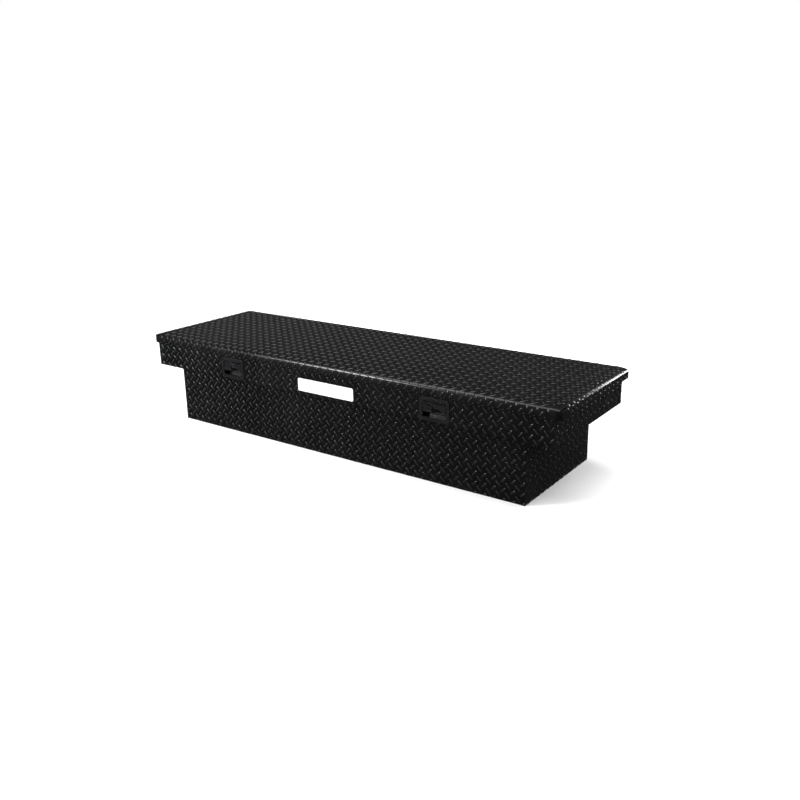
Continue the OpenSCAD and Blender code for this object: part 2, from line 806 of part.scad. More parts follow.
module lock_barrel(side) {
    slot = [1.6, 2, 7];
    slot_depth = 1;
    color(zinc) at_latch(side) difference() {
        bar_y(0, lock_z, lock_r, paddle_face - lock_proud, paddle_y + lock_back);
        translate([-slot[0] / 2, paddle_face - lock_proud - slot_depth, lock_z - slot[2] / 2]) cube(slot);
    }
}

module lock_cam(side) {
    color(zinc) at_latch(side) {
        bar_y(0, lock_z, cam_w / 2, paddle_y + lock_back, paddle_y + lock_back + cam_t);
        block([-cam_w / 2, paddle_y + lock_back, lock_z],
              [cam_w / 2, paddle_y + lock_back + cam_t, lock_z + cam_reach]);
    }
}

// A channel behind the dish that carries the catch
module latch_frame(side) {
    half = frame_half + frame_t;
    color(zinc) at_latch(side) difference() {
        union() {
            block([-half, frame_y0, frame_z0], [half, frame_y0 + frame_t, frame_z1]);
            for (s = [-1, 1])
                block([s > 0 ? frame_half : -half, frame_y0, frame_z0],
                      [s > 0 ? half : -frame_half, frame_y1, frame_z1]);
        }
        block([-window_w / 2, frame_y0 - cut, window_z],
              [window_w / 2, frame_y0 + frame_t + cut, frame_z1 + cut]);
        bar_x(0, catch_y, catch_z, catch_pin_r + pin_clear, 4 * half);
    }
}

// The catch: boss, arm, nose over the striker's path and a tail under the paddle's crank.
// It is drawn let go, with its nose just clear of the striker.
module catch(side) {
    tail_top = paddle_z - crank_t / 2 - crank_gap;
    color(zinc) at_latch(side) difference() {
        side_plate(0, catch_t) {
            translate([catch_y, catch_z]) circle(r = catch_boss_r);
            strip([catch_y, catch_z], catch_knee + knee_overlap, catch_arm_w);
            translate(catch_knee - [0, nose_t]) square([catch_tip[0] - catch_knee[0], nose_t]);
            translate([catch_tail_y, tail_top - tail_t])
                square([catch_y - catch_tail_y - tail_overlap, tail_t]);
        }
        bar_x(0, catch_y, catch_z, catch_pin_r + pin_clear, 4 * catch_t);
    }
}

module catch_pin(side) {
    length = 2 * (frame_half + frame_t + pin_proud);
    color(zinc) at_latch(side) bar_x(0, catch_y, catch_z, catch_pin_r, length);
}

module catch_spring(side) {
    turns = 2;
    r = catch_pin_r + coil_wire + coil_gap;
    color(bare) at_latch(side) coil(catch_t / 2 + coil_wire + coil_side_gap, catch_y, catch_z, r, turns);
}

// A round bar bent into a U, hanging from its plate
module striker(side) {
    top = pan_z - plate_t;
    color(zinc) at_latch(side) {
        bar_x(0, striker_y, striker_z, striker_r, 2 * striker_half);
        for (s = [-1, 1]) {
            translate([s * striker_half, striker_y, striker_z]) sphere(r = striker_r);
            translate([s * striker_half, striker_y, striker_z]) cylinder(r = striker_r, h = top - striker_z);
        }
    }
}

module striker_plate(side) {
    color(zinc) at_latch(side) difference() {
        block([-plate_w / 2, striker_y - plate_d / 2, pan_z - plate_t],
              [plate_w / 2, striker_y + plate_d / 2, pan_z]);
        for (s = [-1, 1]) translate([s * plate_rivet_x, striker_y, pan_z - plate_t - cut])
            cylinder(r = plate_rivet_r + rivet_fit, h = plate_t + 2 * cut);
    }
}

module striker_rivets() {
    head = 1.4;
    color(bare) for (side = ["left", "right"]) at_latch(side) for (s = [-1, 1])
        translate([s * plate_rivet_x, striker_y, pan_z - plate_t - head]) {
            cylinder(r = plate_rivet_r * head_ratio, h = head);
            cylinder(r = plate_rivet_r, h = head + plate_t + pan_sheet);
        }
}

front_panel();
rear_panel();
floor_pan();
tub_end("left");  // left_end
tub_end("right");  // right_end
weather_seal();
nameplate();
lid_skin();
lid_inner_pan();
lid_stiffeners();
hinge_leaf_tub();
hinge_leaf_lid();
hinge_pin();
hinge_rivets_tub();
hinge_rivets_lid();
strut_tub_bracket("left");  // left_strut_tub_bracket
strut_tub_bracket("right");  // right_strut_tub_bracket
strut_lid_bracket("left");  // left_strut_lid_bracket
strut_lid_bracket("right");  // right_strut_lid_bracket
strut_rivets_tub();
strut_rivets_lid();
strut_tube("left");  // left_strut_tube
strut_tube("right");  // right_strut_tube
strut_rod("left");  // left_strut_rod
strut_rod("right");  // right_strut_rod
tube_socket("left");  // left_tube_socket
tube_socket("right");  // right_tube_socket
rod_socket("left");  // left_rod_socket
rod_socket("right");  // right_rod_socket
latch_dish("left");  // left_latch_dish
latch_dish("right");  // right_latch_dish
latch_gasket("left");  // left_latch_gasket
latch_gasket("right");  // right_latch_gasket
latch_nuts();
paddle("left");  // left_paddle
paddle("right");  // right_paddle
paddle_pin("left");  // left_paddle_pin
paddle_pin("right");  // right_paddle_pin
paddle_spring("left");  // left_paddle_spring
paddle_spring("right");  // right_paddle_spring
lock_barrel("left");  // left_lock_barrel
lock_barrel("right");  // right_lock_barrel
lock_cam("left");  // left_lock_cam
lock_cam("right");  // right_lock_cam
latch_frame("left");  // left_latch_frame
latch_frame("right");  // right_latch_frame
catch("left");  // left_catch
catch("right");  // right_catch
catch_pin("left");  // left_catch_pin
catch_pin("right");  // right_catch_pin
catch_spring("left");  // left_catch_spring
catch_spring("right");  // right_catch_spring
striker("left");  // left_striker
striker("right");  // right_striker
striker_plate("left");  // left_striker_plate
striker_plate("right");  // right_striker_plate
striker_rivets();
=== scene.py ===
# %% [markdown]
# # A crossover tool box in black tread plate
#
# The box lies across the bed of a pickup truck. Its tub is folded from tread
# plate, the aluminium sheet with small raised bars, and coated in black powder.
# The lid is one piece. It swings on a piano hinge, two gas struts hold it up and
# two paddle latches hold it shut.
#
# The metal frame comes from the CAD part, so its sizes are already right. This
# lesson gives it what the plain CAD shapes lack: the raised bars, soft folded
# edges, moulded latches, a rubber seal, and a finish for every surface.

# %% Load the frame
import math

import bpy
import numpy as np
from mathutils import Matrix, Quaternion, Vector


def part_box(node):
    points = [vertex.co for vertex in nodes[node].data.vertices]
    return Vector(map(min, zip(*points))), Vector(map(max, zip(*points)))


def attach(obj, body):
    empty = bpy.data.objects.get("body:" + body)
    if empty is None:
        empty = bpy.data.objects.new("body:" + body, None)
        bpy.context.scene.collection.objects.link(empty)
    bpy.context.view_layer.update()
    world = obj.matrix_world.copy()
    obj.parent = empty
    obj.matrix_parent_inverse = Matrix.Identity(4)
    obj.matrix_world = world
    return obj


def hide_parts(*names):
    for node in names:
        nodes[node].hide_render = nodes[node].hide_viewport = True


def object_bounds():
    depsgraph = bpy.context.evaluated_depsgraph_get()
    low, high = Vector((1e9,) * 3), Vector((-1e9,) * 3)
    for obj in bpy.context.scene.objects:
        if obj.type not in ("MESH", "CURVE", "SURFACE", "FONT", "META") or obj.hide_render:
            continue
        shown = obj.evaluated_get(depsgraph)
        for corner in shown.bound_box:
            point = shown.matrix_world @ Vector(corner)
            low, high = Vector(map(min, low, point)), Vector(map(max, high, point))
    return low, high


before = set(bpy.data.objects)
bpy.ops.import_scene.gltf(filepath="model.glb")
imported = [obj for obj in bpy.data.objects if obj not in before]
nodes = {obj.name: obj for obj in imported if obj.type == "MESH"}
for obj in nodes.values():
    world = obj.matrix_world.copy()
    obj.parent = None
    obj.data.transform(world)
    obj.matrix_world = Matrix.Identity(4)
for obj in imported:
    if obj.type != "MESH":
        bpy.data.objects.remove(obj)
cad_low, cad_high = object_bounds()
print("the frame has", len(nodes), "nodes and measures", [round(v, 3) for v in cad_high - cad_low], "m")

# %% [markdown]
# ## Small helpers
#
# Operators act on whatever is selected, so each step starts by letting go of
# everything and taking one piece. Faces are picked in code, by where they are
# and which way they look, and then shaped with the same operators that the
# menus of edit mode offer.

# %% Helpers for taking and picking
def let_go():
    if bpy.context.mode != "OBJECT":
        bpy.ops.object.mode_set(mode="OBJECT")
    bpy.ops.object.select_all(action="DESELECT")


def take(*pieces):
    let_go()
    for piece in pieces:
        piece.select_set(True)
    bpy.context.view_layer.objects.active = pieces[0]
    return pieces[0]


def settle(piece):
    """Writes a piece's place and turn into its mesh, so its object sits at the origin."""
    take(piece)
    bpy.ops.object.transform_apply(location=True, rotation=True, scale=True)
    return piece


def pick_faces(piece, test):
    """Opens a piece in edit mode with the faces selected that pass the test."""
    take(piece)
    bpy.ops.object.mode_set(mode="EDIT")
    bpy.ops.mesh.select_mode(type="FACE")
    bpy.ops.mesh.select_all(action="DESELECT")
    bpy.ops.object.mode_set(mode="OBJECT")
    for face in piece.data.polygons:
        face.select = bool(test(face.center, face.normal))
    bpy.ops.object.mode_set(mode="EDIT")


def pick_edges(piece, test):
    """The same for edges: the test is given the edge's middle and its direction."""
    take(piece)
    bpy.ops.object.mode_set(mode="EDIT")
    bpy.ops.mesh.select_mode(type="EDGE")
    bpy.ops.mesh.select_all(action="DESELECT")
    bpy.ops.object.mode_set(mode="OBJECT")
    corners = piece.data.vertices
    for edge in piece.data.edges:
        a, b = (corners[i].co for i in edge.vertices)
        edge.select = bool(test((a + b) / 2, (b - a).normalized()))
    bpy.ops.object.mode_set(mode="EDIT")


def add_modifier(piece, kind, apply=True, **settings):
    take(piece)
    modifier = piece.modifiers.new(kind.title(), kind)
    for key, value in settings.items():
        setattr(modifier, key, value)
    if apply:
        bpy.ops.object.modifier_apply(modifier=modifier.name)
    return modifier


def slab(name, low, high):
    """A block between two corners, the start of most pressed and moulded pieces."""
    let_go()
    low, high = Vector(low), Vector(high)
    bpy.ops.mesh.primitive_cube_add(size=1, location=(low + high) / 2)
    piece = bpy.context.active_object
    piece.name = name
    piece.scale = high - low
    return settle(piece)


def smooth(piece, degrees=35):
    take(piece)
    bpy.ops.object.shade_smooth_by_angle(angle=math.radians(degrees))
    return piece


def outwards(piece):
    """Merges doubles and turns every face outwards."""
    take(piece)
    bpy.ops.object.mode_set(mode="EDIT")
    bpy.ops.mesh.select_all(action="SELECT")
    bpy.ops.mesh.remove_doubles(threshold=0.00001)
    bpy.ops.mesh.normals_make_consistent(inside=False)
    bpy.ops.object.mode_set(mode="OBJECT")
    return piece


def triangles(piece):
    return sum(len(face.vertices) - 2 for face in piece.data.polygons)


print("helpers ready")

# %% [markdown]
# ## The camera, the floor and the light
#
# A black object is lit mostly by what it reflects. A small bright lamp would
# leave hard spots on the bars, so the light comes from large soft panels, a wide
# ceiling light and a dim sky. The floor is a plain pale sheet.
#
# Two settings here are for the look, and aren't how a real studio behaves. The
# sky is white where the camera sees it and dim where it lights the box, and the
# floor doesn't show in reflections. Without them the black would look grey.

# %% Camera
azimuth = math.radians(35.811)
elevation = math.radians(17.928)
roll = math.radians(-0.973)
backwards = Vector((math.sin(azimuth) * math.cos(elevation),
                    -math.cos(azimuth) * math.cos(elevation),
                    math.sin(elevation)))
bpy.ops.object.camera_add(location=(1.8712, -2.4070, 1.1315))
camera = bpy.context.active_object
camera.data.sensor_width = 36
camera.data.lens = 38.589
camera.data.clip_start = 0.05
camera.data.clip_end = 200
camera.rotation_mode = "QUATERNION"
camera.rotation_quaternion = Quaternion(backwards, roll) @ (-backwards).to_track_quat("-Z", "Y")
bpy.context.scene.camera = camera
print("camera at", [round(v, 2) for v in camera.location], "with a", camera.data.lens, "mm lens")

# %% Floor
let_go()
bpy.ops.mesh.primitive_plane_add(size=120, location=(0, 0, cad_low.z - 0.0005))
floor = bpy.context.active_object
floor.name = "studio_floor"
settle(floor)
floor.visible_glossy = False
floor_paint = bpy.data.materials.new("pale_floor")
floor_paint.use_nodes = True
floor_shader = floor_paint.node_tree.nodes["Principled BSDF"]
floor_shader.inputs["Base Color"].default_value = (0.86, 0.86, 0.86, 1)
floor_shader.inputs["Roughness"].default_value = 0.9
floor_shader.inputs["Specular IOR Level"].default_value = 0.1
floor.data.materials.append(floor_paint)
print("floor laid at", round(cad_low.z, 4))


# %% Soft light panels
def light_panel(name, place, aim, width, height, watts):
    """A wide soft panel at place, facing aim."""
    let_go()
    bpy.ops.object.light_add(type="AREA", location=place)
    panel = bpy.context.active_object
    panel.name = name
    panel.data.shape = "RECTANGLE"
    panel.data.size = width
    panel.data.size_y = height
    panel.data.energy = watts
    panel.rotation_mode = "QUATERNION"
    panel.rotation_quaternion = (Vector(aim) - Vector(place)).to_track_quat("-Z", "Y")
    return panel


panels = [
    light_panel("front_left_panel", (-2.6, -3.1, 1.9), (-0.4, 0, 0.2), 1.7, 1.0, 90),
    light_panel("near_left_panel", (-1.5, -2.1, 1.2), (-0.4, 0, 0.25), 0.9, 0.5, 62),
    light_panel("overhead_panel", (-0.5, 0.1, 3.3), (-0.1, 0, 0.3), 1.3, 0.9, 8),
    light_panel("back_right_panel", (2.4, 2.8, 3.3), (0.7, 0, 0.2), 1.0, 0.8, 75),
    light_panel("low_right_panel", (2.3, 3.4, 1.5), (0.8, 0, 0.2), 1.0, 0.8, 150),
]

let_go()
bpy.ops.object.light_add(type="SUN", location=(0, 0, 4))
ceiling_light = bpy.context.active_object
ceiling_light.name = "ceiling_light"
ceiling_light.data.energy = 3.7
ceiling_light.data.angle = math.radians(60)
ceiling_light.rotation_mode = "QUATERNION"
ceiling_light.rotation_quaternion = Vector((0.15, 0.12, -1.0)).to_track_quat("-Z", "Y")

sky = bpy.data.worlds.new("studio_sky")
sky.use_nodes = True
sky_tree = sky.node_tree
seen = sky_tree.nodes["Background"]
seen.inputs["Color"].default_value = (1, 1, 1, 1)
seen.inputs["Strength"].default_value = 1.0
cast = sky_tree.nodes.new("ShaderNodeBackground")
cast.inputs["Color"].default_value = (1, 1, 1, 1)
cast.inputs["Strength"].default_value = 0.045
ray = sky_tree.nodes.new("ShaderNodeLightPath")
blend = sky_tree.nodes.new("ShaderNodeMixShader")
sky_tree.links.new(ray.outputs["Is Camera Ray"], blend.inputs["Fac"])
sky_tree.links.new(cast.outputs["Background"], blend.inputs[1])
sky_tree.links.new(seen.outputs["Background"], blend.inputs[2])
sky_tree.links.new(blend.outputs["Shader"], sky_tree.nodes["World Output"].inputs["Surface"])
bpy.context.scene.world = sky
bpy.context.scene.view_settings.view_transform = "Standard"
print(len(panels), "panels, a ceiling light and a sky")

# %% [markdown]
# ## Finishes
#
# Powder coat is baked paint. It flows a little before it sets, which leaves a
# fine orange peel, and its gloss drifts from place to place. On tread plate the
# crowns of the bars are handled and rubbed, so they end up smoother and a shade
# lighter than the sheet between them. All patterns read Object coordinates, so
# their grain has a real size in metres.
#
# The base colours of the sheet and the bars are darker than real powder coat.
# They are set for the light in this scene.

# %% Helpers for materials
def new_finish(name, metallic=0.0):
    """A material, its node tree and its shader, ready for patterns."""
    finish = bpy.data.materials.new(name)
    finish.use_nodes = True
    tree = finish.node_tree
    shader = tree.nodes["Principled BSDF"]
    shader.inputs["Metallic"].default_value = metallic
    return finish, tree, shader


def place_node(tree, stretch=(1, 1, 1)):
    """Object coordinates, stretched to draw a grain out along an axis."""
    where = tree.nodes.new("ShaderNodeTexCoord")
    mapping = tree.nodes.new("ShaderNodeMapping")
    mapping.inputs["Scale"].default_value = stretch
    tree.links.new(where.outputs["Object"], mapping.inputs["Vector"])
    return mapping.outputs["Vector"]


def noise_node(tree, where, scale, detail=2.0, roughness=0.5):
    noise = tree.nodes.new("ShaderNodeTexNoise")
    noise.inputs["Scale"].default_value = scale
    noise.inputs["Detail"].default_value = detail
    noise.inputs["Roughness"].default_value = roughness
    tree.links.new(where, noise.inputs["Vector"])
    return noise.outputs["Fac"]


def ramp_node(tree, source, low, high, start=0.3, end=0.7):
    """Turns a 0 to 1 pattern into a colour or a level between two values."""
    ramp = tree.nodes.new("ShaderNodeValToRGB")
    ramp.color_ramp.elements[0].position = start
    ramp.color_ramp.elements[1].position = end
    for element, value in zip(ramp.color_ramp.elements, (low, high)):
        element.color = (*value, 1) if isinstance(value, tuple) else (value, value, value, 1)
    tree.links.new(source, ramp.inputs["Fac"])
    return ramp.outputs["Color"]


def bump_node(tree, source, strength, distance, below=None):
    bump = tree.nodes.new("ShaderNodeBump")
    bump.inputs["Strength"].default_value = strength
    bump.inputs["Distance"].default_value = distance
    tree.links.new(source, bump.inputs["Height"])
    if below is not None:
        tree.links.new(below, bump.inputs["Normal"])
    return bump.outputs["Normal"]


def mix_node(tree, level, low, high):
    """Mixes two colours by a level that comes from a pattern."""
    mix = tree.nodes.new("ShaderNodeMix")
    mix.data_type = "RGBA"
    tree.links.new(level, mix.inputs["Factor"])
    for socket, value in (("A", low), ("B", high)):
        found = [s for s in mix.inputs if s.name == socket and s.type == "RGBA"][0]
        if isinstance(value, tuple):
            found.default_value = (*value, 1)
        else:
            tree.links.new(value, found)
    return [s for s in mix.outputs if s.type == "RGBA"][0]


print("material helpers ready")


# %% Powder coat
def powder_coat(name, dark, light, gloss=(0.25, 0.35), peel=0.00004, worn=False, shine=0.32):
    """Baked black powder: drifting tone and gloss, orange peel and a faint wave in the sheet."""
    finish, tree, shader = new_finish(name)
    where = place_node(tree)
    drift = noise_node(tree, where, 7, 4, 0.6)
    colour = ramp_node(tree, drift, dark, light)
    level = ramp_node(tree, noise_node(tree, where, 16, 5, 0.65), gloss[0], gloss[1])
    if worn:
        rise = tree.nodes.new("ShaderNodeAttribute")
        rise.attribute_name = "rise"
        rubbed = ramp_node(tree, rise.outputs["Fac"], 0.0, 1.0, 0.45, 1.0)
        colour = mix_node(tree, rubbed, colour, tuple(v * 1.9 for v in light))
        level = mix_node(tree, rubbed, level, (gloss[0] * 0.72,) * 3)
    tree.links.new(colour, shader.inputs["Base Color"])
    tree.links.new(level, shader.inputs["Roughness"])
    shader.inputs["Specular IOR Level"].default_value = shine
    wave = bump_node(tree, noise_node(tree, where, 4.5, 1), 0.15, 0.0012)
    skin = bump_node(tree, noise_node(tree, where, 620, 2), 0.5, peel, wave)
    tree.links.new(skin, shader.inputs["Normal"])
    return finish


sheet_coat = powder_coat("powder_coat_sheet", (0.0015, 0.0015, 0.0016), (0.0035, 0.0035, 0.0037))
bar_coat = powder_coat("powder_coat_bars", (0.003, 0.003, 0.0032), (0.0075, 0.0075, 0.0079),
                       gloss=(0.22, 0.30), worn=True)
pan_coat = powder_coat("powder_coat_pan", (0.010, 0.010, 0.011), (0.020, 0.020, 0.022),
                       gloss=(0.34, 0.5))
latch_coat = powder_coat("latch_gloss_black", (0.006, 0.006, 0.0065), (0.010, 0.010, 0.011),
                         gloss=(0.16, 0.28), peel=0.00002)
print("powder coats mixed")


# %% [markdown]
# Plated and bright metal shows fine lines along the way it was rolled or drawn,
# and its tone is cloudy. Stretching a noise pattern along one axis draws such
# lines.

# %% Metals
def plated_metal(name, dark, light, rough=(0.25, 0.42), stretch=(1, 1, 1), grain=420):
    finish, tree, shader = new_finish(name, metallic=1.0)
    where = place_node(tree, stretch)
    cloud = noise_node(tree, place_node(tree), 60, 5, 0.6)
    tree.links.new(ramp_node(tree, cloud, dark, light), shader.inputs["Base Color"])
    line = noise_node(tree, where, grain, 3, 0.55)
    tree.links.new(ramp_node(tree, line, rough[0], rough[1]), shader.inputs["Roughness"])
    tree.links.new(bump_node(tree, line, 0.35, 0.00003), shader.inputs["Normal"])
    return finish


zinc_plate = plated_metal("zinc_plating", (0.42, 0.42, 0.39), (0.62, 0.62, 0.58), (0.30, 0.48))
bright_pin = plated_metal("bright_steel_pin", (0.5, 0.5, 0.5), (0.62, 0.62, 0.62),
                          (0.18, 0.3), (0.06, 1, 1))
hard_chrome = plated_metal("hard_chrome_rod", (0.68, 0.68, 0.70), (0.78, 0.78, 0.80),
                           (0.05, 0.1), (1, 0.1, 0.1))
lock_chrome = plated_metal("lock_black_chrome", (0.05, 0.05, 0.053), (0.09, 0.09, 0.095),
                           (0.14, 0.26), (1, 1, 1), 900)
label_white = powder_coat("label_enamel", (0.70, 0.70, 0.70), (0.78, 0.78, 0.78),
                          gloss=(0.30, 0.45), shine=0.4)
spring_wire = plated_metal("spring_wire", (0.45, 0.45, 0.44), (0.58, 0.58, 0.57), (0.22, 0.34))
hinge_coat = powder_coat("hinge_black", (0.010, 0.010, 0.011), (0.018, 0.018, 0.019), gloss=(0.28, 0.4))
rivet_coat = powder_coat("rivet_black", (0.012, 0.012, 0.013), (0.024, 0.024, 0.025), gloss=(0.25, 0.38))
strut_paint = powder_coat("strut_paint", (0.010, 0.010, 0.011), (0.014, 0.014, 0.015),
                          gloss=(0.12, 0.2), peel=0.00001)
print("metals ready")


# %% Rubber and nylon
def soft_black(name, dark, light, rough, pores, depth):
    """Rubber and nylon: dull, a little dusty, with fine pores or a spark-eroded grain."""
    finish, tree, shader = new_finish(name)
    where = place_node(tree)
    dust = ramp_node(tree, noise_node(tree, where, 24, 5, 0.65), dark, light)
    level = ramp_node(tree, noise_node(tree, where, 50, 3), rough[0], rough[1])
    skin = bump_node(tree, noise_node(tree, where, pores, 2), 0.6, depth)
    tree.links.new(dust, shader.inputs["Base Color"])
    tree.links.new(level, shader.inputs["Roughness"])
    tree.links.new(skin, shader.inputs["Normal"])
    return finish


seal_rubber = soft_black("foam_rubber", (0.010, 0.010, 0.010), (0.022, 0.022, 0.021),
                         (0.72, 0.9), 900, 0.0002)
nylon_black = soft_black("nylon_black", (0.014, 0.014, 0.014), (0.021, 0.021, 0.021),
                         (0.42, 0.58), 1600, 0.00005)
print("rubber and nylon ready")

# %% [markdown]
# ## Soft edges on the folded metal
#
# No folded or pressed sheet has a knife edge. The CAD nodes keep their meshes,
# but they may wear modifiers: a Weld joins their loose triangles, a planar
# Decimate turns them back into whole faces, and a Bevel rounds each corner a
# little, so that edges catch the light. Weighted normals keep the flats flat.

# %% A stack of modifiers for soft edges
def soften(node, radius):
    add_modifier(node, "WELD", apply=False, merge_threshold=0.00001)
    add_modifier(node, "DECIMATE", apply=False, decimate_type="DISSOLVE", angle_limit=math.radians(1))
    add_modifier(node, "BEVEL", apply=False, width=radius, segments=2, limit_method="ANGLE",
                 angle_limit=math.radians(40))
    add_modifier(node, "WEIGHTED_NORMAL", apply=False, weight=100, keep_sharp=False)


print("edges are softened with four live modifiers")

# %% Finish for each node, and its edge radius in millimetres
finishes = [
    (sheet_coat, 0.7, ["front_panel", "rear_panel", "left_end", "right_end", "floor_pan"]),
    (pan_coat, 0.3, ["lid_inner_pan", "lid_stiffeners"]),
    (hinge_coat, 0.25, ["hinge_leaf_tub", "hinge_leaf_lid"]),
    (bright_pin, 0, ["hinge_pin"]),
    (rivet_coat, 0.3, ["hinge_rivets_tub", "hinge_rivets_lid", "strut_rivets_tub",
                       "strut_rivets_lid", "striker_rivets"]),
    (zinc_plate, 0.3, ["SIDE_strut_tub_bracket", "SIDE_strut_lid_bracket", "latch_nuts",
                       "SIDE_latch_frame", "SIDE_catch", "SIDE_striker_plate", "SIDE_striker",
                       "SIDE_lock_cam"]),
    (bright_pin, 0.2, ["SIDE_paddle_pin", "SIDE_catch_pin"]),
    (spring_wire, 0, ["SIDE_paddle_spring", "SIDE_catch_spring"]),
    (strut_paint, 0.6, ["SIDE_strut_tube"]),
    (hard_chrome, 0, ["SIDE_strut_rod"]),
    (nylon_black, 0.4, ["SIDE_tube_socket", "SIDE_rod_socket"]),
    (seal_rubber, 0, ["SIDE_latch_gasket"]),
]
dressed = set()
for finish, radius, names in finishes:
    for name in [n.replace("SIDE", side) for n in names for side in ("left", "right")]:
        if name in dressed:
            continue
        dressed.add(name)
        node = nodes[name]
        node.data.materials.clear()
        node.data.materials.append(finish)
        smooth(node, 40)
        if radius:
            soften(node, radius * 0.001)
print(len(dressed), "nodes dressed")

# %% [markdown]
# ## The tread bars
#
# Each raised bar is a low lens about an inch long, and the bars stand at 45
# degrees, every other one turned the other way, so each bar's end points at its
# neighbour's flank. One bar is modelled: a ten-sided drum, stretched to
# a lens, its top drawn in and then inset and lifted to a crown. It is repeated
# with Array modifiers, so it has only a few faces.

# %% One bar
pitch = 0.0345
bar_length = 0.0265
bar_width = 0.0082
bar_rise = 0.0013
bar_root = 0.0004
shoulder_rise = bar_rise * 0.55
crown_rise = bar_rise - shoulder_rise
crown_inset = 0.0013

let_go()
bpy.ops.mesh.primitive_cylinder_add(vertices=10, radius=1, depth=1, location=(0, 0, 0))
bar = bpy.context.active_object
bar.name = "tread_bar"
bar.scale = (bar_length / 2, bar_width / 2, bar_root + shoulder_rise)
bar.location = (0, 0, (shoulder_rise - bar_root) / 2)
settle(bar)
pick_faces(bar, lambda c, n: n.z > 0.9)
bpy.ops.transform.resize(value=(0.88, 0.74, 1))
bpy.ops.mesh.inset(thickness=crown_inset)
bpy.ops.transform.translate(value=(0, 0, crown_rise))
bpy.ops.object.mode_set(mode="OBJECT")
rise = bar.data.attributes.new("rise", "FLOAT", "POINT")
rise.data.foreach_set("value", [min(1, max(0, v.co.z / bar_rise)) for v in bar.data.vertices])
bar.data.materials.append(bar_coat)
smooth(bar, 60)
print("one bar has", triangles(bar), "triangles")


# %% A field of bars
def lattice(name, wide, tall, turn, shift):
    """One set of parallel bars over a flat field, made with two Array modifiers."""
    take(bar)
    bpy.ops.object.duplicate()
    piece = bpy.context.active_object
    piece.name = name
    piece.rotation_euler.z = math.radians(turn)
    across, up = (int(size / 2 / pitch) + 2 for size in (wide, tall))
    piece.location = ((shift - across) * pitch, (shift - up) * pitch, 0)
    settle(piece)
    for count, step in ((2 * across, (pitch, 0, 0)), (2 * up, (0, pitch, 0))):
        add_modifier(piece, "ARRAY", count=count, use_relative_offset=False, use_constant_offset=True,
                     constant_offset_displace=step)
    return piece


def take_out(piece, keep):
    """Removes each bar whose middle fails the test."""
    size = len(bar.data.vertices)
    place = np.zeros(len(piece.data.vertices) * 3)
    piece.data.vertices.foreach_get("co", place)
    middles = place.reshape(-1, size, 3).mean(axis=1)
    gone = np.array([not keep(x, y) for x, y in middles[:, :2]])
    take(piece)
    bpy.ops.object.mode_set(mode="EDIT")
    bpy.ops.mesh.select_mode(type="VERT")
    bpy.ops.mesh.select_all(action="DESELECT")
    bpy.ops.object.mode_set(mode="OBJECT")
    piece.data.vertices.foreach_set("select", np.repeat(gone, size))
    bpy.ops.object.mode_set(mode="EDIT")
    bpy.ops.mesh.delete(type="VERT")
    bpy.ops.object.mode_set(mode="OBJECT")


def shear_off(piece, low, high):
    """Cuts the field along its border, as the sheet was sheared, and caps the cut bars."""
    take(piece)
    bpy.ops.object.mode_set(mode="EDIT")
    for axis in (0, 1):
        for limit, way in ((low[axis], -1), (high[axis], 1)):
            point, facing = [0, 0, 0], [0, 0, 0]
            point[axis], facing[axis] = limit, way
            bpy.ops.mesh.select_all(action="SELECT")
            bpy.ops.mesh.bisect(plane_co=point, plane_no=facing, use_fill=True, clear_outer=True)
    bpy.ops.object.mode_set(mode="OBJECT")


def tread_field(name, low, high, keep=lambda x, y: True):
    """Bars drawn flat between two corners of a sheet, rising towards +Z."""
    wide, tall = (2 * max(abs(low[i]), abs(high[i])) for i in (0, 1))
    rising = lattice(name, wide, tall, 45, 0)
    falling = lattice(name + "_falling", wide, tall, -45, 0.5)
    reach = bar_length * 0.4

    def wanted(x, y):
        inside = low[0] - reach < x < high[0] + reach and low[1] - reach < y < high[1] + reach
        return inside and keep(x, y)

    for piece in (rising, falling):
        take_out(piece, wanted)
    take(rising, falling)
    bpy.ops.object.join()
    shear_off(rising, low, high)
    return rising


def lay(piece, right, up, corner):
    """Turns a flat field so its X runs along right and its Y along up, from corner on."""
    right, up = Vector(right), Vector(up)
    facing = right.cross(up)
    from_flat = np.array([right, up, facing])
    place = np.zeros(len(piece.data.vertices) * 3)
    piece.data.vertices.foreach_get("co", place)
    piece.data.vertices.foreach_set("co", (place.reshape(-1, 3) @ from_flat + np.array(corner)).ravel())
    piece.data.update()
    return piece


print("bars are", bar_length, "m long at a pitch of", pitch, "m")

# %% [markdown]
# ## Bars on the tub
#
# The front and the back have an upper wall, a narrow step underneath and a lower
# wall, and each end has an upper wall and a lower wall. The bars stop under the
# latches and under the blank label, and behind the hinge leaf, where they would
# be crushed flat.

# %% Sizes read from the frame
front_low, front_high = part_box("front_panel")
floor_low, floor_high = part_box("floor_pan")
gasket_boxes = [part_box(side + "_latch_gasket") for side in ("left", "right")]
label_low, label_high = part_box("nameplate")
leaf_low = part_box("hinge_leaf_tub")[0]
sheet = 0.002
tray_x, body_x = front_high.x, floor_high.x
front_y, back_y = front_low.y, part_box("rear_panel")[1].y
low_front_y, low_back_y = floor_low.y - sheet, floor_high.y + sheet
rim_z = front_high.z
wing = [v.co.z for v in nodes["right_end"].data.vertices if v.co.x > body_x + sheet]
saddle_z = min(wing)
print("tray", 2 * tray_x, "body", 2 * body_x, "fronts", front_y, low_front_y, "rim", rim_z)


# %% Bars of the front and the back
def clear_of(x, y, boxes, spare=0.0):
    return not any(low[0] - spare < x < high[0] + spare and low[1] - spare < y < high[1] + spare
                   for low, high in boxes)


front_holes = [((b[0].x, b[0].z), (b[1].x, b[1].z)) for b in gasket_boxes]
front_holes.append(((label_low.x, label_low.z), (label_high.x, label_high.z)))
edge = 0.0008
tuck = -0.001

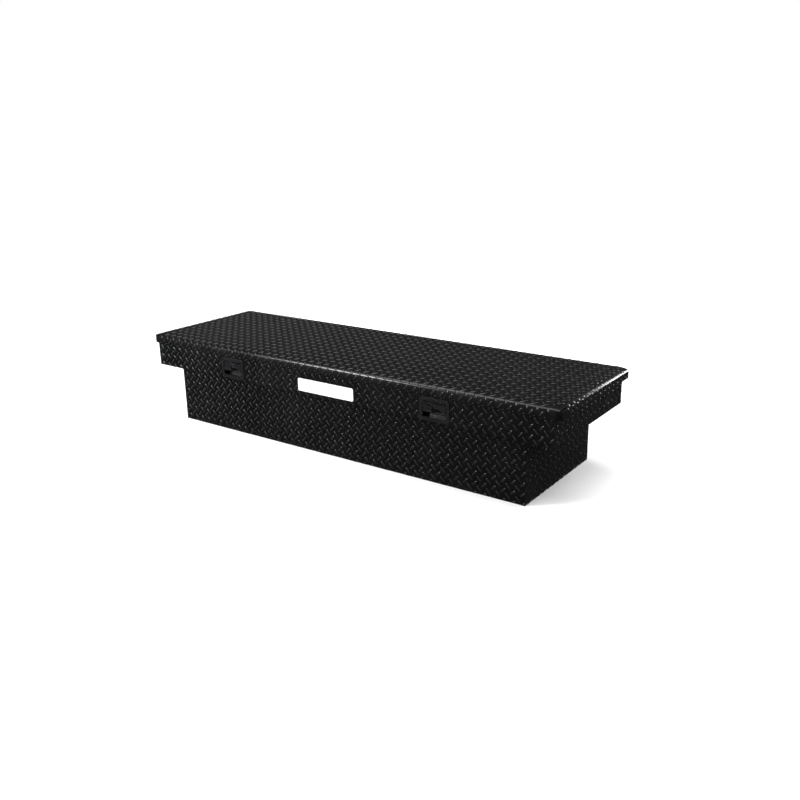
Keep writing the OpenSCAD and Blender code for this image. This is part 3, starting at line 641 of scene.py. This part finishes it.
front_upper = tread_field("front_upper_tread", (-tray_x + edge, saddle_z + edge),
                          (tray_x - edge, rim_z - edge),
                          lambda x, y: clear_of(x, y, front_holes, tuck))
lay(front_upper, (1, 0, 0), (0, 0, 1), (0, front_y, 0))
front_lower = tread_field("front_lower_tread", (-body_x + edge, edge), (body_x - edge, saddle_z - edge))
lay(front_lower, (1, 0, 0), (0, 0, 1), (0, low_front_y, 0))
front_step = tread_field("front_step_tread", (-body_x + edge, front_y + edge),
                         (body_x - edge, low_front_y - edge))
lay(front_step, (-1, 0, 0), (0, 1, 0), (0, 0, saddle_z))

rear_upper = tread_field("rear_upper_tread", (-tray_x + edge, saddle_z + edge),
                         (tray_x - edge, leaf_low.z))
lay(rear_upper, (-1, 0, 0), (0, 0, 1), (0, back_y, 0))
rear_lower = tread_field("rear_lower_tread", (-body_x + edge, edge), (body_x - edge, saddle_z - edge))
lay(rear_lower, (-1, 0, 0), (0, 0, 1), (0, low_back_y, 0))
rear_step = tread_field("rear_step_tread", (-body_x + edge, low_back_y + edge),
                        (body_x - edge, back_y - edge))
lay(rear_step, (-1, 0, 0), (0, 1, 0), (0, 0, saddle_z))
for piece in (front_upper, front_lower, front_step, rear_upper, rear_lower, rear_step):
    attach(piece, "tub")
    print(piece.name, triangles(piece), "triangles")

# %% Bars of the two ends
for side, way in (("left", -1), ("right", 1)):
    across = sorted((way * front_y, way * back_y))
    low_across = sorted((way * low_front_y, way * low_back_y))
    upper = tread_field(side + "_end_upper_tread", (across[0] + edge, saddle_z + edge),
                        (across[1] - edge, rim_z - edge))
    lay(upper, (0, way, 0), (0, 0, 1), (way * tray_x, 0, 0))
    lower = tread_field(side + "_end_lower_tread", (low_across[0] + edge, edge),
                        (low_across[1] - edge, saddle_z - edge))
    lay(lower, (0, way, 0), (0, 0, 1), (way * body_x, 0, 0))
    for piece in (upper, lower):
        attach(piece, "tub")
        print(piece.name, triangles(piece), "triangles")

# %% [markdown]
# ## The lid
#
# The lid's front and end edges are rolled over in a wide soft curve and end in a
# short skirt, and the bars roll over with the sheet. The cover is a merged copy
# of the frame's own skin, drawn in by the height of the bars, so that bars and
# sheet together are just as big as the frame says. The bars are laid out flat,
# as on the sheet before it was rolled, and each point is then carried round the
# curve by its distance along the sheet.

# %% Lid cover
skin_low, skin_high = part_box("lid_skin")
lid_x, lid_front_y, lid_top, skirt_z = skin_high.x, skin_low.y, skin_high.z, skin_low.z
spare = bar_rise + 0.00004
let_go()
cover = bpy.data.objects.new("lid_cover", nodes["lid_skin"].data.copy())
bpy.context.scene.collection.objects.link(cover)
outwards(cover)
draw = Vector(((lid_x - spare) / lid_x,
               (back_y - lid_front_y - spare) / (back_y - lid_front_y),
               (lid_top - skirt_z - spare) / (lid_top - skirt_z)))
fixed = Vector((0, back_y, skirt_z))
cover.scale = draw
cover.location = [fixed[i] * (1 - draw[i]) for i in range(3)]
settle(cover)
cover.data.materials.clear()
cover.data.materials.append(sheet_coat)
smooth(cover, 30)
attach(cover, "lid")
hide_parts("lid_skin")
print("lid cover drawn in by", spare, "m,", triangles(cover), "triangles")

# %% The rolled edges as a rule
roll_at_ends, roll_at_front, roll_drop = 0.030, 0.038, 0.014
end_run, front_run, edge_drop = roll_at_ends * draw.x, roll_at_front * draw.y, roll_drop * draw.z
flat_x = lid_x - spare - end_run
flat_y = lid_front_y + spare + front_run
skirt = (lid_top - spare) - edge_drop - skirt_z


def roll_table(run, drop):
    """Distance along the curve for each of its points, from the flat top down to the skirt."""
    turn = np.linspace(0, math.pi / 2, 200)
    out, down = run * np.sin(turn), drop * (1 - np.cos(turn))
    along = np.concatenate([[0], np.cumsum(np.hypot(np.diff(out), np.diff(down)))])
    lean = np.stack([np.sin(turn) / run, np.cos(turn) / drop], axis=1)
    lean /= np.linalg.norm(lean, axis=1)[:, None]
    return along, out, down, lean


def carry(distance, table):
    """For each distance past the flat: how far out, how far down, and which way the sheet faces."""
    along, out, down, lean = table
    past = np.clip(distance, 0, along[-1])
    over = np.clip(distance - along[-1], 0, None)
    outward = np.where(distance > 0, np.interp(past, along, out), distance)
    facing = [np.interp(past, along, lean[:, i]) for i in (0, 1)]
    return outward, np.interp(past, along, down) + over, facing


end_table, front_table = roll_table(end_run, edge_drop), roll_table(front_run, edge_drop)
end_reach, front_reach = end_table[0][-1] + skirt - edge, front_table[0][-1] + skirt - edge
print("rolled edges use", round(end_reach, 4), "and", round(front_reach, 4), "m of sheet")


# %% Bars of the lid
corner_inset, corner_reach = 0.010, 0.016


def off_corners(x, y):
    """Leaves the two front corners bare, where the sheet is cut, welded and ground."""
    past_end, past_front = abs(x) - flat_x, flat_y - y
    near_both = past_end > -corner_inset and past_front > -corner_inset
    return not (near_both and max(past_end, past_front) > corner_reach)


lid_tread = tread_field("lid_tread", (-flat_x - end_reach, flat_y - front_reach),
                        (flat_x + end_reach, back_y - edge), off_corners)
place = np.zeros(len(lid_tread.data.vertices) * 3)
lid_tread.data.vertices.foreach_get("co", place)
x, y, height = place.reshape(-1, 3).T
out_x, down_x, lean_x = carry(np.abs(x) - flat_x, end_table)
out_y, down_y, lean_y = carry(flat_y - y, front_table)
at_end = down_x > down_y
side_way = np.sign(x)
face_x = np.where(at_end, side_way * lean_x[0], 0)
face_y = np.where(at_end, 0, -lean_y[0])
face_z = np.where(at_end, lean_x[1], lean_y[1])
rolled = np.stack([side_way * (flat_x + out_x) + face_x * height,
                   flat_y - out_y + face_y * height,
                   lid_top - spare - np.maximum(down_x, down_y) + face_z * height], axis=1)
lid_tread.data.vertices.foreach_set("co", rolled.ravel())
lid_tread.data.update()
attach(lid_tread, "lid")
print("lid bars rolled,", triangles(lid_tread), "triangles")

# %% [markdown]
# ## The seal, the label and the latches
#
# The seal is an extruded rubber bulb on a flat foot. The label is a plain blank
# plate with a panel pressed into it. Each paddle has a pressed face of the same
# kind, and a ring round its lock.

# %% Weather seal
def rubber_ring(name, half_x, low_y, high_y, width, low_z, high_z, round_off):
    """A closed rubber ring: a plane, inset to a frame, pulled up and rounded along its top."""
    let_go()
    bpy.ops.mesh.primitive_plane_add(size=1, location=(0, (low_y + high_y) / 2, low_z))
    ring = bpy.context.active_object
    ring.name = name
    ring.scale = (2 * half_x, high_y - low_y, 1)
    settle(ring)
    bpy.ops.object.mode_set(mode="EDIT")
    bpy.ops.mesh.select_mode(type="FACE")
    bpy.ops.mesh.select_all(action="SELECT")
    bpy.ops.mesh.inset(thickness=width)
    bpy.ops.mesh.delete(type="FACE")
    bpy.ops.mesh.select_all(action="SELECT")
    bpy.ops.mesh.extrude_region_move(TRANSFORM_OT_translate={"value": (0, 0, high_z - low_z)})
    bpy.ops.object.mode_set(mode="OBJECT")
    outwards(ring)
    pick_edges(ring, lambda c, d: c.z > high_z - 0.0001 and
               (abs(d.x) > 0.99 or abs(d.y) > 0.99) and
               (abs(abs(c.x) - half_x) < 0.0001 or abs(abs(c.x) - half_x + width) < 0.0001 or
                min(abs(c.y - low_y), abs(c.y - high_y)) < 0.0001 or
                min(abs(c.y - low_y - width), abs(c.y - high_y + width)) < 0.0001))
    bpy.ops.mesh.bevel(offset=round_off, segments=5)
    bpy.ops.object.mode_set(mode="OBJECT")
    ring.data.materials.append(seal_rubber)
    return smooth(ring, 50)


seal_low, seal_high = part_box("weather_seal")
foot_thickness, foot_width, foot_round = 0.002, 0.012, 0.0008
bulb_width, bulb_round, bulb_sunk = 0.009, 0.0034, 0.0004
bulb_step = (foot_width - bulb_width) / 2
foot_z = seal_low.z + foot_thickness
foot = rubber_ring("seal_foot", seal_high.x, seal_low.y, seal_high.y, foot_width,
                   seal_low.z, foot_z, foot_round)
bulb = rubber_ring("seal_bulb", seal_high.x - bulb_step, seal_low.y + bulb_step, seal_high.y - bulb_step,
                   bulb_width, foot_z - bulb_sunk, seal_high.z, bulb_round)
for ring in (foot, bulb):
    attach(ring, "tub")
    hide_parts("weather_seal")
print("seal laid,", triangles(foot) + triangles(bulb), "triangles")


# %% A pressed plate
def pressed_plate(name, low, high, corner, border, depth, finish, edge_round=0.0003):
    """A plate that faces the front, with round corners and a panel pressed into it."""
    plate = slab(name, low, high)
    pick_edges(plate, lambda c, d: abs(d.y) > 0.99)
    bpy.ops.mesh.bevel(offset=corner, segments=6)
    bpy.ops.object.mode_set(mode="OBJECT")
    pick_faces(plate, lambda c, n: n.y < -0.99)
    bpy.ops.mesh.inset(thickness=border)
    bpy.ops.mesh.inset(thickness=abs(depth) * 1.5)
    bpy.ops.transform.translate(value=(0, depth, 0))
    bpy.ops.object.mode_set(mode="OBJECT")
    add_modifier(plate, "BEVEL", width=edge_round, segments=2, limit_method="ANGLE",
                 angle_limit=math.radians(50))
    plate.data.materials.append(finish)
    return smooth(plate, 35)


label = pressed_plate("blank_label", (label_low.x, label_low.y - 0.0007, label_low.z), label_high,
                      0.005, 0.0030, 0.0005, label_white)
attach(label, "tub")
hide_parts("nameplate")
print("label", [round(v * 1000) for v in label_high - label_low], "mm, left blank")


# %% Latch fronts
def ring_round(name, middle, outer, inner, low_y, high_y, finish):
    """A turned ring that faces the front: a disc, inset, with its middle pushed in."""
    let_go()
    bpy.ops.mesh.primitive_cylinder_add(vertices=40, radius=outer, depth=high_y - low_y,
                                        location=(middle[0], (low_y + high_y) / 2, middle[1]),
                                        rotation=(math.pi / 2, 0, 0))
    ring = bpy.context.active_object
    ring.name = name
    settle(ring)
    pick_faces(ring, lambda c, n: n.y < -0.99)
    bpy.ops.mesh.inset(thickness=outer - inner)
    bpy.ops.transform.translate(value=(0, (high_y - low_y) * 0.8, 0))
    bpy.ops.object.mode_set(mode="OBJECT")
    add_modifier(ring, "BEVEL", width=(outer - inner) * 0.3, segments=3, limit_method="ANGLE",
                 angle_limit=math.radians(50))
    ring.data.materials.append(finish)
    return smooth(ring, 40)


face_front, face_back, face_foot, face_top = 0.0008, 0.0004, 0.0025, 0.0015
ring_outside, ring_inside, ring_front, ring_back = 0.0016, 0.0012, 0.0016, 0.0004

for side in ("left", "right"):
    paddle_low, paddle_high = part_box(side + "_paddle")
    lock_low, lock_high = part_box(side + "_lock_barrel")
    middle = (lock_low + lock_high) / 2
    radius = (lock_high.x - lock_low.x) / 2
    plate = pressed_plate(side + "_paddle_face",
                          (paddle_low.x, paddle_low.y - face_front, paddle_low.z + face_foot),
                          (paddle_high.x, paddle_low.y + face_back, paddle_high.z - face_top),
                          0.0035, 0.0035, 0.0006, latch_coat)
    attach(plate, side + "_paddle_body")
    ring = ring_round(side + "_lock_ring", (middle.x, middle.z), radius + ring_outside,
                      radius - ring_inside, paddle_low.y - ring_front, paddle_low.y - ring_back,
                      lock_chrome)
    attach(ring, side + "_paddle_body")
    for name in ("_latch_dish", "_paddle"):
        node = nodes[side + name]
        node.data.materials.clear()
        node.data.materials.append(latch_coat)
        smooth(node, 40)
        soften(node, 0.0005)
    barrel = nodes[side + "_lock_barrel"]
    barrel.data.materials.clear()
    barrel.data.materials.append(lock_chrome)
    smooth(barrel, 40)
    print(side, "latch front made")

# %% Remove the first bar, now that the fields hold its copies
take(bar)
bpy.ops.object.delete()
